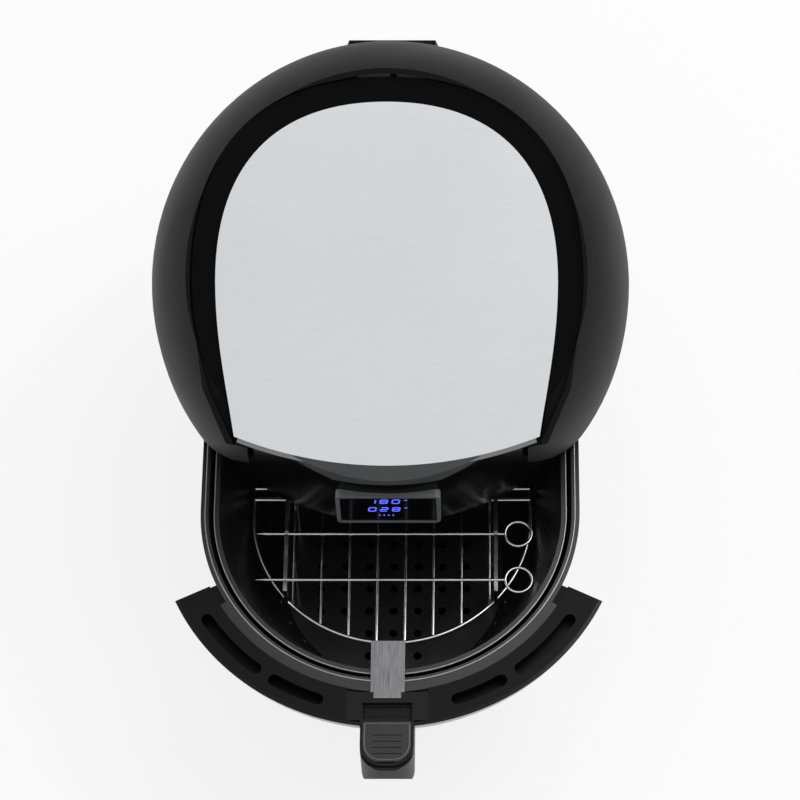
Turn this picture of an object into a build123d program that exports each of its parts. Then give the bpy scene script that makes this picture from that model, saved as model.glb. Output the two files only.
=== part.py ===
from build123d import *
import math
import os

# Body: a ball-like solid of revolution about Z, front toward -Y, millimetres
body_r = 152.0
equator_z = 196.0
upper_rise = 168.0
upper_swell = 0.5725
crown_swell = 0.5055
lower_r = body_r - 68.0
lower_lean = 0.55
lower_swell = 95.0
waist_swell = 66.0
plinth_r = lower_r + 12.0
wall = 3.0
sheet = 1.2
play = 0.3
touch = 0.05

# Heights of the main levels above the table
foot_h = 6.0
base_h = 16.0
split_z = 151.0
panel_gap = 1.5

# Slanted top deck
slant = 29.2
deck_dist = body_r - 56.0
groove_depth = 7.0
deck_t = 3.0
plate_t = 1.5
plate_half = body_r - 47.6
wide_q = 3.0
arch_swell = 0.65
plate_back = body_r - 39.7
plate_corner_x = body_r - 58.7
plate_corner_q = 60.5 - body_r
plate_front_q = 42.7 - body_r
groove_w = 15.6
chin_drop = 20.0
chin_half = 33.0

# Front opening, wings and control panel
opening_half_deg = 65.0
wing_half = body_r - 65.4
fascia_half_deg = 57.0
fascia_t = 2.8
display_w = 65.0
display_h = 38.0
display_top = 5.0
bezel_w = 2.6
bezel_proud = 2.2

# Drawer
drawer_out = 135.0
flange_w = 35.8
pan_half = body_r - flange_w
pan_back = pan_half - 21.2
pan_floor_z = 27.0
pan_corner = 46.0
pan_floor = (pan_half - 44.2, pan_back - 23.0, pan_corner + 16.0)
pan_lip = 3.8
pan_front_lip = 7.8
basket_gap = 6.8
basket_half = pan_half - basket_gap
basket_back = pan_back - 7.0
basket_floor_z = 42.0
basket_corner = 42.0
basket_floor = (basket_half - 36.4, basket_back - 22.0, basket_corner + 12.0)
panel_skin = 2.5
flange_t = 3.0
runner_x = 15.0
runner_w = 8.0
runner_front = pan_floor[0] + 2.0
runner_back = pan_floor[1] - 17.0
foot_r = 9.0
boss_r = 6.0
base_screw_r = 3.5

# Handle
handle_w = 33.0
block_w = 50.0
block_l = 18.5
handle_l = 31.0
handle_corner = 13.0
handle_drop = 38.0
channel_drop = 3.0
channel_wall = 1.2
cup_wall = 3.5
button_w = 28.0
button_d = 6.5
button_travel = 3.5
guard_travel = 12.0
guard_l = 26.0

# Rack and skewers
rack_z = 100.0
rack_half = basket_half - 19.4
rack_shift = 19.0
rack_back = 38.0
rack_wire = 1.4
grid_wire = 1.0
grid_pitch = rack_half / 5
bar_x = rack_half - 23.0
bar_t = 2.4
bar_h = 9.0
skewer_r = 1.0
skewer_fit = 0.06
skewer_z = 119.5
skewer_rear_y = -3.5
skewer_front_y = -35.7
loop_r = 8.5

# Hot-air head
head_r = body_r - 48.0
head_h = 52.0
element_z = 172.0
element_r = 3.5
fan_z = 184.0
fan_r = 62.0
cooler_r = 40.0
shaft_r = 4.0
shaft_fit = 0.05
motor_r = 32.0
motor_z = 224.0
motor_h = 34.0

# Rear outlet and mains inlet
vent_y = body_r + 5.0
vent_top = 47.0
vent_drop = 60.0
vent_top_w = 56.0
vent_low_w = 112.0
inlet_z = 62.0
inlet_r = 8.0

# Derived levels
base_top = foot_h + base_h
panel_top = split_z - panel_gap
panel_low = base_top + panel_gap
pan_rim_z = panel_top - 1.3
head_z = split_z + 1.0
head_top = head_z + head_h
far = 500.0
lip_r = pan_half + pan_front_lip + 0.2
block_back = lip_r + play
block_front = block_back + block_l
handle_reach = block_front + handle_l
y_origin = (drawer_out + handle_reach - vent_y) / 2
pan_top = (pan_half, pan_back, pan_corner)
basket_top = (basket_half, basket_back, basket_corner)

tilt = math.radians(slant)
deck = Plane(
    origin=(0, -deck_dist * math.sin(tilt), equator_z + deck_dist * math.cos(tilt)),
    x_dir=(1, 0, 0),
    z_dir=(0, -math.sin(tilt), math.cos(tilt)),
)


def write(name, solid, out=0.0):
    """Move a piece to the origin at the middle of the footprint and write it."""
    export_step(Pos(0, y_origin - out, 0) * solid, "parts/" + name + ".step")


def half_face(inset):
    """Half section of the body drawn in by a constant amount."""
    r = body_r - inset
    z = equator_z
    up = upper_rise - inset
    low_r = lower_r - inset * math.hypot(1, lower_lean)
    toe_r = low_r - lower_lean * base_top
    flare = (low_r + lower_lean * lower_swell, base_top + lower_swell)
    low = Bezier((low_r, base_top), flare, (r, z - waist_swell), (r, z))
    high = Bezier((r, z), (r, z + upper_swell * up), (crown_swell * r, z + up), (0, z + up))
    toe = Line((toe_r, 0), (low_r, base_top))
    return make_face([Line((0, 0), (toe_r, 0)), toe, low, high, Line(high @ 1, (0, 0))])


def ball(inset=0.0, seam=-90.0):
    """Body solid drawn in by a constant amount."""
    return Rot(0, 0, seam) * revolve(Plane.XZ * half_face(inset), Axis.Z)


def skin(inset, thick, z0, z1, half_deg=180.0):
    """Layer of the body wall between two heights, within an angle of the front."""
    section = half_face(inset) - half_face(inset + thick)
    section &= Pos(far / 2, (z0 + z1) / 2) * Rectangle(far, z1 - z0)
    start = -90 if half_deg == 180 else -90 - half_deg
    return Rot(0, 0, start) * revolve(Plane.XZ * section, Axis.Z, 2 * half_deg)


def body_radius(z):
    """Radius of the body between its base and its widest level, by halving along its curve."""
    heights = (base_top, base_top + lower_swell, equator_z - waist_swell, equator_z)
    radii = (lower_r, lower_r + lower_lean * lower_swell, body_r, body_r)
    t = 0.5
    for i in range(2, 30):
        t += math.copysign(0.5 ** i, z - bezier_at(heights, t))
    return bezier_at(radii, t)


def bezier_at(p, t):
    """Point on a cubic curve with four handles."""
    u = 1 - t
    return u ** 3 * p[0] + 3 * u * u * t * p[1] + 3 * u * t * t * p[2] + t ** 3 * p[3]


def slab(z0, z1):
    """Everything between two heights."""
    return Pos(0, 0, (z0 + z1) / 2) * Box(2 * far, 2 * far, z1 - z0)


def box(x0, x1, y0, y1, z0, z1):
    """Box between two corners."""
    return Pos((x0 + x1) / 2, (y0 + y1) / 2, (z0 + z1) / 2) * Box(x1 - x0, y1 - y0, z1 - z0)


def rod(r, z0, z1, x=0.0, y=0.0):
    """Upright round bar."""
    return Pos(x, y, (z0 + z1) / 2) * Cylinder(r, z1 - z0)


def tube(r_out, r_in, z0, z1, x=0.0, y=0.0):
    """Upright ring."""
    return rod(r_out, z0, z1, x, y) - rod(r_in, z0 - 1, z1 + 1, x, y)


def bar_between(a, b, r):
    """Round wire from one point to another."""
    start = Vector(*a)
    span = Vector(*b) - start
    return Plane(origin=start, z_dir=span) * Pos(0, 0, span.length / 2) * Cylinder(r, span.length)


def wedge(half_deg, z0, z1):
    """Front sector of the body within an angle to either side."""
    a = math.radians(half_deg)
    side = (far * math.sin(a), -far * math.cos(a))
    points = [(0, 0), side, (side[0], -far), (-side[0], -far), (-side[0], side[1])]
    return extrude(Pos(0, 0, z0) * make_face(Polyline(*points, close=True)), z1 - z0, dir=(0, 0, 1))


def above_deck(h):
    """Everything above a level measured square to the slanted deck."""
    return deck * Pos(0, 0, h + far / 2) * Box(2 * far, 2 * far, far)


def arch(half, top):
    """Right half of the arched back, from the widest line to the middle."""
    rise = arch_swell * (top - wide_q)
    return Bezier((half, wide_q), (half, wide_q + rise), (arch_swell * half, top), (0, top))


def deck_outline(grow=0.0, front=0.0):
    """Top plate outline: arched back, sides tapering to the front corners, bowed front."""
    half = plate_half + grow
    top = plate_back + grow
    cx = plate_corner_x + grow
    cq = plate_corner_q - front
    back_right = arch(half, top)
    back_left = mirror(back_right, Plane.YZ)
    side_right = Spline((cx, cq), (half, wide_q), tangents=[(0.15, 0.99), (0, 1)])
    side_left = mirror(side_right, Plane.YZ)
    bow = ThreePointArc((-cx, cq), (0, plate_front_q - front), (cx, cq))
    return make_face([back_right, back_left, side_left, bow, side_right])


def groove_outline():
    """Inner edge of the matte collar: wide round the back, closing on the plate corners."""
    half = plate_half + groove_w
    top = plate_back + groove_w
    kink = (1.04 * plate_half, 0.69 * plate_corner_q)
    corner = (plate_corner_x + 2, plate_corner_q - 1)
    side_right = Spline(kink, (half, wide_q), tangents=[(0.25, 0.97), (0, 1)])
    edges = [arch(half, top), side_right, Line(corner, kink)]
    edges += [mirror(e, Plane.YZ) for e in edges]
    edges.append(ThreePointArc((-corner[0], corner[1]), (0, plate_front_q), corner))
    return make_face(edges)


def on_deck(face, h0, h1):
    """Solid over a deck outline between two levels."""
    return extrude(deck * Pos(0, 0, h0) * face, h1 - h0, dir=deck.z_dir)


def u_outline(half, back, corner):
    """Plan outline of the drawer: round front, straight sides, rounded back corners."""
    front = ThreePointArc((-half, 0), (0, -half), (half, 0))
    right = Line((half, 0), (half, back - corner))
    k = corner * (1 - math.sqrt(0.5))
    turn_right = ThreePointArc((half, back - corner), (half - k, back - k), (half - corner, back))
    rear = Line((half - corner, back), (corner - half, back))
    turn_left = mirror(turn_right, Plane.YZ)
    left = mirror(right, Plane.YZ)
    return make_face([front, right, turn_right, rear, turn_left, left])


def u_solid(half, back, corner, z0, z1):
    """Straight-walled block over the drawer outline."""
    return extrude(Pos(0, 0, z0) * u_outline(half, back, corner), z1 - z0, dir=(0, 0, 1))


def u_taper(top, low, inset, z0, z1):
    """Block between two drawer outlines, each given by its half width, back and corner radius."""
    high = Pos(0, 0, z1) * u_outline(*(v - inset for v in top))
    deep = Pos(0, 0, z0) * u_outline(*(v - inset for v in low))
    return loft([deep, high], ruled=True)


def mirrored(solid):
    """A piece together with its mirror image across the middle plane."""
    return solid + mirror(solid, Plane.YZ)


def prism_xz(points, y0, y1):
    """Solid between two depths over an outline drawn on the front view."""
    face = Plane.XZ * make_face(Polyline(*points, close=True))
    return extrude(Pos(0, y0, 0) * face, y1 - y0, dir=(0, 1, 0))


def prism_yz(points, half_w):
    """Solid of a given width over an outline drawn on the side view."""
    face = Plane.YZ * make_face(Polyline(*points, close=True))
    return extrude(Pos(-half_w, 0, 0) * face, 2 * half_w, dir=(1, 0, 0))


def vent_points(inset):
    """Rear outlet outline, narrow at its top edge."""
    top = equator_z + vent_top - inset
    low = equator_z - vent_drop + inset
    a = vent_top_w / 2 - 0.8 * inset
    b = vent_low_w / 2 - inset
    return [(-a, top), (a, top), (b, low), (-b, low)]


# Base tray with ribs, and the four feet under it
foot_ring = plinth_r - 16
foot_places = [(foot_ring * sx, foot_ring * sy) for sx in (-0.7, 0.7) for sy in (-0.7, 0.7)]
screw_in = 0.8


def make_base_tray():
    floor_r = plinth_r - 3
    floor = Circle(floor_r + 1)
    bosses = []
    for x, y in foot_places:
        bosses.append(rod(boss_r, foot_h + 2.9, base_top, x, y))
        bosses.append(rod(boss_r, foot_h + 2.9, base_top, x * screw_in, y * screw_in))
    for row in (-2, -1, 1, 2):
        for x in (-26, 26):
            floor -= Pos(x, 13 * row) * Rectangle(40, 5)
    tray = tube(plinth_r, floor_r, foot_h, base_top) + Pos(0, 0, foot_h) * extrude(floor, 3)
    tray += tube(floor_r + 1, lower_r - 8, base_top - 3, base_top)
    tray += box(-1.25, 1.25, -floor_r, floor_r, foot_h + 2.9, base_top)
    tray += box(-floor_r, floor_r, -1.25, 1.25, foot_h + 2.9, base_top)
    for boss in bosses:
        tray += boss
    return tray


def make_feet():
    feet = []
    for x, y in foot_places:
        feet.append(rod(foot_r, 0, foot_h, x, y))
    return Compound(children=feet)


# Outer shell: hollow ball with slanted mouth, drawer opening and two front wings
def brow():
    """Corner blocks that carry the plate corners over the round body."""
    inner = plate_corner_x - 23.3
    points = [
        (inner, -14), (plate_half + 14.1, -14), (plate_half + 8.1, plate_corner_q + 29.5),
        (plate_corner_x + 5, plate_corner_q - 4), (inner, plate_front_q + 5.3),
    ]
    return mirrored(on_deck(make_face(Polyline(*points, close=True)), -46, 0)) - ball(wall)


def front_cut():
    """Mouth of the body between the wings, above the drawer opening."""
    low = split_z
    spread = wing_half + equator_z - split_z - 10
    points = [
        (-wing_half, equator_z + far), (wing_half, equator_z + far), (wing_half, equator_z),
        (spread, low), (-spread, low), (-wing_half, equator_z),
    ]
    return prism_xz(points, -far, 0)


def make_shell():
    shell = skin(0, wall, base_top, equator_z + upper_rise - wall - 2)
    shell += brow() & slab(equator_z - 20, equator_z + upper_rise)
    shell -= above_deck(0)
    shell -= on_deck(groove_outline(), -groove_depth, 1)
    shell -= on_deck(deck_outline(0.4, 6), -groove_depth - deck_t - 2, 1)
    shell -= front_cut()
    shell -= wedge(opening_half_deg, base_top - 1, split_z)
    shell -= prism_xz(vent_points(6), 60, far)
    shell -= along_y(inlet_r, 0, far, inlet_z)
    return shell


# Glossy deck in the slanted mouth, and the silver plate on it
def make_deck():
    floor = -groove_depth - deck_t
    ring = on_deck(groove_outline(), floor, -groove_depth) & ball(wall)
    hat = on_deck(deck_outline(-2.5), floor, -plate_t)
    hat -= on_deck(deck_outline(-5.5, -3), floor - 1, -plate_t - 2.5)
    ring -= on_deck(deck_outline(-5.5, -3), floor - 1, 0)
    return ring + hat


def make_plate():
    plate = on_deck(deck_outline(0, 0), -plate_t, 0)
    lip = on_deck(deck_outline(-2.5, 2.5) - deck_outline(-2.5, 0), -plate_t - 1.5, -0.6)
    x = plate_corner_x + 0.7
    back = plate_corner_q + 11.5
    ahead = plate_front_q - 15.7
    strip = Polyline((-x, back), (x, back), (x, ahead), (-x, ahead), close=True)
    front = on_deck(make_face(strip), -9, 1)
    return plate + (lip & front)


def make_chin():
    """Sloped trim under the plate's front edge."""
    z0 = equator_z + chin_drop
    outline = [
        (-chin_half, z0), (chin_half, z0), (chin_half + 24, z0 + 10.5), (chin_half + 27, z0 + 40),
        (-chin_half - 27, z0 + 40), (-chin_half - 24, z0 + 10.5),
    ]
    chin = prism_xz(outline, -far, -body_r / 2) & ball(0.5, 90)
    chin -= above_deck(-0.4)
    edge_y = -deck_dist * math.sin(tilt) + plate_front_q * math.cos(tilt)
    edge_z = deck.origin.Z + plate_front_q * math.sin(tilt)
    chin -= Pos(0, edge_y, edge_z) * Rot(38, 0, 0) * Pos(0, 0, 50) * Box(far, far, 100)
    chin -= on_deck(deck_outline(-2.5, 0), -40, 1)
    chin -= deck * Pos(0, 0, -groove_depth - far / 2) * Box(2 * far, 2 * far, far)
    return chin - make_plate()


# Glossy control panel under the chin, with the display in it
def make_fascia():
    inset = wall + 0.2
    fascia = skin(inset, fascia_t, split_z, equator_z + 80, fascia_half_deg)
    fascia -= above_deck(-groove_depth - deck_t - touch)
    fascia -= display_block(0, 60)
    return fascia


display_mid = equator_z + display_top - display_h / 2
display_front = body_r - wall - 0.2 + bezel_proud
bezel_d = 7.0


def display_block(inset, depth):
    """Rounded block of the display, from its front face inward."""
    face = RectangleRounded(display_w - 2 * inset, display_h - 2 * inset, 4 - min(inset, 3))
    return extrude(Pos(0, -display_front, display_mid) * (Plane.XZ * face), depth, dir=(0, 1, 0))


def make_bezel():
    bezel = display_block(0, bezel_d)
    bezel -= Pos(0, -1, 0) * display_block(bezel_w, 2.5)
    bezel -= display_block(bezel_w + 2, bezel_d + 1)
    return bezel


def make_window():
    return Pos(0, 0.5, 0) * display_block(bezel_w, 1.0)


def make_board():
    y0 = -display_front + bezel_d
    board = box(-display_w / 2 + 4, display_w / 2 - 4, y0, y0 + 1.6, display_mid - 15, display_mid + 15)
    for i in range(3):
        board += box(-19 + 13 * i, -8 + 13 * i, y0 - 3.4, y0, display_mid + 2, display_mid + 12)
        board += box(-19 + 13 * i, -8 + 13 * i, y0 - 3.4, y0, display_mid - 11, display_mid - 1)
    return board


# Rear outlet box and grille, mains inlet bush
def make_vent():
    box_out = prism_xz(vent_points(0), body_r / 2, vent_y) - ball()
    box_out -= prism_xz(vent_points(2.5), 0, vent_y - 2.5)
    box_out -= prism_xz(vent_points(9), 0, far)
    return box_out


def make_vent_grille():
    frame = prism_xz(vent_points(9), vent_y - 4.5, vent_y - 0.5)
    rim = prism_xz(vent_points(2.5), vent_y - 4.5, vent_y - 2.5)
    frame += rim
    n = 9
    low = equator_z - vent_drop + 13
    pitch = (vent_top + vent_drop - 26) / n
    for i in range(n):
        z = low + pitch * (i + 0.5)
        f = (z - low) / (pitch * n)
        half = (1 - f) * (vent_low_w / 2 - 13) + f * (vent_top_w / 2 - 11)
        frame -= box(-half, -2, vent_y - 6, vent_y, z - pitch * 0.3, z + pitch * 0.3)
        frame -= box(2, half, vent_y - 6, vent_y, z - pitch * 0.3, z + pitch * 0.3)
    return frame


inlet_in = body_radius(inlet_z) - 10
inlet_out = body_radius(inlet_z + inlet_r + 4) + 4
cord_r = 4.0


def along_y(r, y0, y1, z):
    """Round bar that points to the rear."""
    return Pos(0, (y0 + y1) / 2, z) * Rot(90, 0, 0) * Cylinder(r, y1 - y0)


def make_inlet():
    bush = along_y(inlet_r, inlet_in, inlet_out, inlet_z)
    bush += along_y(inlet_r + 4, inlet_out - 3.7, inlet_out, inlet_z)
    return bush - along_y(cord_r, 0, far, inlet_z)


# Compartment for the drawer, its runners, and the ceiling over it
liner_half = pan_half + pan_lip + 4
liner_back = pan_back + pan_lip + 3
liner_top = (liner_half, liner_back, pan_corner + 8)
liner_floor = tuple(v + 3.5 for v in pan_floor)
liner_front = 50.0


def liner_block(grow, z0):
    """Space of the drawer bay: tapered drawer outline with straight sides toward the front."""
    block = u_taper(liner_top, liner_floor, -grow, z0, head_z)
    low = liner_floor[0] + grow
    high = liner_half + grow
    return block + prism_xz([(-low, z0), (low, z0), (high, head_z), (-high, head_z)], -liner_front, 1)


def make_liner():
    liner = liner_block(sheet, base_top) - liner_block(0, base_top + sheet)
    liner -= box(-body_r, body_r, -body_r, -liner_front, base_top + sheet, head_z + 1)
    return liner & ball(wall + 0.2)


def make_runner(side):
    x0 = side * runner_x - runner_w / 2
    return box(x0, x0 + runner_w, -runner_front, runner_back, base_top + sheet, pan_floor_z - play)


def make_head_floor():
    floor = ball(wall + 0.2 + fascia_t) & slab(head_z, head_z + 2)
    floor -= rod(head_r - 6, head_z - 1, head_z + 3)
    floor -= rod(3, head_z - 1, head_z + 3, switch_x, switch_y)
    for a in range(4):
        t = math.radians(45 + 90 * a)
        floor -= rod(2, head_z - 1, head_z + 3, head_screw_r * math.cos(t), head_screw_r * math.sin(t))
    return floor


head_screw_r = head_r + 17.6
switch_x = 0.68 * body_r
switch_y = 0.5 * body_r


def make_head_screws():
    screws = []
    for a in range(4):
        t = math.radians(45 + 90 * a)
        x = head_screw_r * math.cos(t)
        y = head_screw_r * math.sin(t)
        screws.append(rod(2, head_z, head_z + 2, x, y) + rod(3.6, head_z + 2, head_z + 4, x, y))
    return Compound(children=screws)


# Hot-air head: reflector, element, guard, fans and motor
def make_reflector():
    cup = tube(head_r, head_r - sheet, head_z + 2, head_top)
    cup += tube(head_r, shaft_r + 3, head_top - sheet, head_top)
    cup += tube(head_r + 7, head_r - sheet, head_z + 2, head_z + 2 + sheet)
    for s in (-1, 1):
        cup -= rod(element_r + 1.5, head_top - 4, head_top + 1, s * element_pin_x, element_pin_y)
    for x, y in post_places:
        cup -= rod(2, head_top - 4, head_top + 1, x, y)
    cup -= rod(3, head_top - 4, head_top + 1, sensor_x, 0)
    return cup


element_out = 0.76 * head_r
element_in = 0.54 * head_r
element_pin_x = 10.0
element_pin_y = math.sqrt(element_out ** 2 - element_pin_x ** 2)
sensor_x = 0.68 * head_r
post_places = [(0.46 * head_r * math.cos(a), 0.46 * head_r * math.sin(a)) for a in (0.5, 2.6, 4.71)]


def make_element():
    """One tube: outer half ring, inner ring and the other outer half ring."""
    gap = 6
    far_out = math.sqrt(element_out ** 2 - gap ** 2)
    far_in = math.sqrt(element_in ** 2 - gap ** 2)
    path = Curve() + [
        ThreePointArc((-gap, far_out), (-element_out, 0), (-gap, -far_out)),
        Line((-gap, -far_out), (-gap, -far_in)),
        ThreePointArc((-gap, -far_in), (0, element_in), (gap, -far_in)),
        Line((gap, -far_in), (gap, -far_out)),
        ThreePointArc((gap, -far_out), (element_out, 0), (gap, far_out)),
    ]
    coil = Pos(0, 0, element_z - element_r) * extrude(trace(path, 2 * element_r), 2 * element_r)
    for s in (-1, 1):
        coil += rod(0.8 * element_r, element_z, head_top + 14, s * element_pin_x, element_pin_y)
    return coil


def make_element_bushes():
    bushes = []
    for s in (-1, 1):
        bush = tube(element_r + 4, 0.8 * element_r, head_top, head_top + 7, s * element_pin_x, element_pin_y)
        bushes.append(bush)
    return Compound(children=bushes)


def make_element_clips():
    clips = []
    reach = element_out + element_r
    mid = (element_in + element_out) / 2
    for i in range(3):
        clip = box(element_in - 2, reach - 1, -3, 3, element_z - element_r - 1.5, element_z - element_r)
        clip += box(mid - 1, mid + 1, -3, 3, element_z - element_r - 1, head_top - sheet - touch)
        clips.append(Rot(0, 0, 50 + 120 * i) * clip)
    return Compound(children=clips)


def make_guard_grille():
    z = head_z + 4 + sheet
    reach = head_r - sheet
    grille = tube(reach, reach - 4, z - 1, z + 1.5)
    for r in (0.3, 0.5, 0.72):
        grille += tube(r * head_r + 1, r * head_r - 1, z - 1, z + 1)
    for i in range(3):
        grille += Rot(0, 0, 60 * i) * box(1 - reach, reach - 1, -1.2, 1.2, z - 1, z + 0.5)
    return grille


def make_air_fan():
    fan = rod(fan_r * 0.45, fan_z, fan_z + 1.5) + rod(9, fan_z, fan_z + 14)
    blade = box(8, fan_r, -0.75, 0.75, fan_z, fan_z + 12)
    for i in range(8):
        fan += Rot(0, 0, 45 * i) * blade
    return fan - rod(shaft_r, fan_z - 1, fan_z + 20)


def make_cooling_fan():
    z = head_top + 3
    fan = rod(cooler_r, z, z + 1.2) + rod(9, z, z + 9)
    blade = box(8, cooler_r, -0.6, 0.6, z, z + 8)
    for i in range(12):
        fan += Rot(0, 0, 30 * i) * blade
    return fan - rod(shaft_r, z - 1, z + 20)


def make_shaft():
    return rod(shaft_r, fan_z - 6, motor_z + motor_h + 6)


def make_fan_nut():
    nut = extrude(Pos(0, 0, fan_z - 4) * RegularPolygon(7, 6), 4)
    return nut - rod(shaft_r, fan_z - 10, fan_z + 10)


def make_motor_core():
    core = rod(18, motor_z + 7, motor_z + motor_h - 7)
    return core - rod(shaft_r, motor_z, motor_z + motor_h)


def make_motor_case():
    case = rod(motor_r, motor_z, motor_z + motor_h)
    case -= rod(motor_r - 3, motor_z + 3, motor_z + motor_h - 3)
    case -= rod(9, motor_z - 1, motor_z + motor_h + 1)
    for i in range(6):
        slot = box(motor_r - 5, motor_r + 5, -6, 6, motor_z + 8, motor_z + motor_h - 8)
        case -= Rot(0, 0, 60 * i + 30) * slot
    return case


def make_stator():
    return tube(motor_r - 3, 19, motor_z + 8, motor_z + motor_h - 8)


def make_bearing(z):
    return rod(9, z, z + 3) - rod(shaft_r + shaft_fit, z - 1, z + 4)


def make_motor_bracket():
    z = motor_z - 3
    plate = rod(0.52 * head_r, z, motor_z) - rod(12, z - 1, motor_z + 1)
    for x, y in post_places:
        plate += rod(4, head_top, z, x, y)
        plate += rod(2, head_top - sheet, head_top, x, y)
    return plate


def make_temp_sensor():
    return rod(3, head_top - 22, head_top + 8, sensor_x, 0) + rod(6, head_top, head_top + 4, sensor_x, 0)


def make_thermal_fuse():
    body = box(-14, 14, -7, 7, 0, 5) + box(-18, 18, -1, 1, 5, 6)
    return Rot(0, 0, 25) * Pos(0, 0.8 * head_r, head_top) * body


def make_power_board():
    z = head_z + 2
    board = box(-28, 28, 0, 1.6, z + 4, z + 54)
    board += box(-24, -4, 1.6, 15, z + 18, z + 40) + box(6, 22, 1.6, 10, z + 28, z + 48)
    board += rod(6, z + 10, z + 24, 14, 7)
    board += box(-28, 28, -1, 6, z, z + 4)
    return Pos(0, head_r + 9, 0) * board


def make_drawer_switch():
    z = head_z + 2
    case = box(-10, 10, -4, 4, z, z + 14)
    case += rod(2.4, split_z - 0.4, z)
    return Pos(switch_x, switch_y, 0) * case


def make_base_screws():
    screws = []
    for x, y in foot_places:
        screws.append(rod(base_screw_r, foot_h - 2, foot_h, x * screw_in, y * screw_in))
    return Compound(children=screws)


# Drawer pan, front panel and handle, drawn with the drawer shut
def make_pan():
    pan = u_taper(pan_top, pan_floor, 0, pan_floor_z, pan_rim_z)
    rim = u_solid(pan_half + pan_lip, pan_back + pan_lip, pan_corner + pan_lip, pan_rim_z - sheet, pan_rim_z)
    front = wedge(58, pan_rim_z - sheet, pan_rim_z)
    rim += rod(pan_half + pan_front_lip, pan_rim_z - sheet, pan_rim_z) & front
    pan += rim
    pan -= u_taper(pan_top, pan_floor, sheet, pan_floor_z + sheet, pan_rim_z + 0.01)
    return pan


def make_panel_skin():
    front = skin(0, panel_skin, panel_low, panel_top, opening_half_deg - 0.5)
    return front - box(-handle_half - 0.4, handle_half + 0.4, -far, 0, panel_top - handle_drop - 0.5, far)


handle_half = handle_w / 2
arm_back = lip_r + 4 + touch
block_in = pan_half + 3
cap_reach = handle_reach - 2
block_low = panel_top - 17.0
channel_z = panel_top - channel_drop


def slot_sector(r, a0, a1, w, z0, z1):
    """Curved slot with round ends on a circle about the drawer axis."""
    m = math.radians((a0 + a1) / 2)
    p0 = (r * math.sin(math.radians(a0)), -r * math.cos(math.radians(a0)))
    pm = (r * math.sin(m), -r * math.cos(m))
    p1 = (r * math.sin(math.radians(a1)), -r * math.cos(math.radians(a1)))
    return extrude(Pos(0, 0, z0) * SlotArc(ThreePointArc(p0, pm, p1), w), z1 - z0, dir=(0, 0, 1))


def make_panel_frame():
    ledge_z = pan_rim_z - sheet
    part = tube(body_r, lip_r, panel_top - flange_t, panel_top)
    part += tube(lip_r + 4, pan_half + 2, ledge_z - 3, ledge_z)
    part += tube(lip_r + 4, lip_r + 1.5, panel_low + 6, ledge_z)
    part += tube(body_r, lip_r + 1.5, panel_top - 12, panel_top - 10)
    part &= wedge(opening_half_deg - 0.5, panel_low, panel_top)
    part &= ball(panel_skin, 90)
    tip = tube(body_r, lip_r + 6, panel_top - 9, panel_top) & ball(panel_skin, 90)
    tip &= wedge(opening_half_deg - 0.5, panel_low, panel_top) - wedge(opening_half_deg - 5, 0, far)
    part += tip
    mid = (lip_r + body_radius(panel_top)) / 2
    for s in (-1, 1):
        part -= slot_sector(mid, s * 37, s * 56, 7.5, panel_top - 6, panel_top + 1)
        part -= slot_sector(mid, s * 18.5, s * 31, 7.5, panel_top - 6, panel_top + 1)
    half = block_w / 2
    part -= box(-half, half, -far, -block_back, block_low, far)
    part -= box(-half, half, -block_back - 0.1, 0, block_low, far)
    return part


def handle_plan(reach, inset):
    """Upright block over the handle's plan, with rounded front corners, drawn in by a constant amount."""
    face = RectangleRounded(handle_w - 2 * inset, 2 * (reach - inset), handle_corner - inset)
    return extrude(face, far)


def make_handle_body():
    block = box(-block_w / 2, block_w / 2, -block_front, -block_in, block_low, channel_z)
    block &= ball(panel_skin, 90)
    low = panel_top - handle_drop
    nose = handle_reach + 1
    outer = [
        (-block_front + 2, channel_z), (-nose + 2, channel_z), (-nose, channel_z - 4),
        (-nose, channel_z - 13), (-nose + 8, low), (-arm_back, low),
        (-arm_back, block_low + 1), (-block_front + 2, block_low + 1),
    ]
    arm = prism_yz(outer, handle_w) & handle_plan(handle_reach, 0)
    cup = [
        (-body_r + 0.5, channel_z - 11), (-handle_reach + 4, channel_z - 11),
        (-handle_reach + 4, channel_z - 13.5), (-handle_reach + 12, low - 1), (-body_r + 0.5, low - 1),
    ]
    arm -= prism_yz(cup, handle_w) & handle_plan(handle_reach, cup_wall)
    body = block + arm
    body -= box(-button_w / 2 - 0.5, button_w / 2 + 0.5, button_y0 - 0.4, button_y1 + 0.4, recess_z, far)
    body -= box(-4.3, 4.3, button_y1 - 5.3, button_y1 - 1.2, 0, far)
    body -= box(-4.5, 4.5, button_y1 - 5.5, button_y1 + 3, 0, block_low - 3.4)
    body -= box(-6.3, 6.3, -handle_reach + 3.5, -block_front - 0.5, channel_z - 4, far)
    body -= box(-9.3, 9.3, -handle_reach + 3.5, -block_front - 0.5, channel_z - 4, channel_z - 1.7)
    return body


button_y1 = -block_back - 9.0
button_y0 = button_y1 - button_d
recess_z = channel_z - 8.0


def make_handle_cap():
    half = block_w / 2
    cap = box(-half, half, -block_front, -block_back, channel_z, panel_top) & ball(panel_skin, 90)
    arm = box(-handle_half, handle_half, -handle_reach, -block_back - 7, channel_z, panel_top)
    cap += arm & handle_plan(cap_reach, 0)
    channel = box(-handle_half, handle_half, -handle_reach, -block_back - 7, channel_z - 1, panel_top + 1)
    cap -= channel & handle_plan(cap_reach, channel_wall)
    tongue = bracket_half - 2 + play
    cap -= box(-tongue, tongue, -block_back - 4.5, -block_back + 1, channel_z - 1, panel_top + 1)
    return cap


def make_button():
    top = channel_z - 0.5
    button = box(-button_w / 2, button_w / 2, button_y0, button_y1, top - 3.5, top)
    for i in range(5):
        button -= box(-9 + 4 * i, -7 + 4 * i, button_y0 + 1, button_y1 - 1, top - 0.5, top + 1)
    return button


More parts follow.
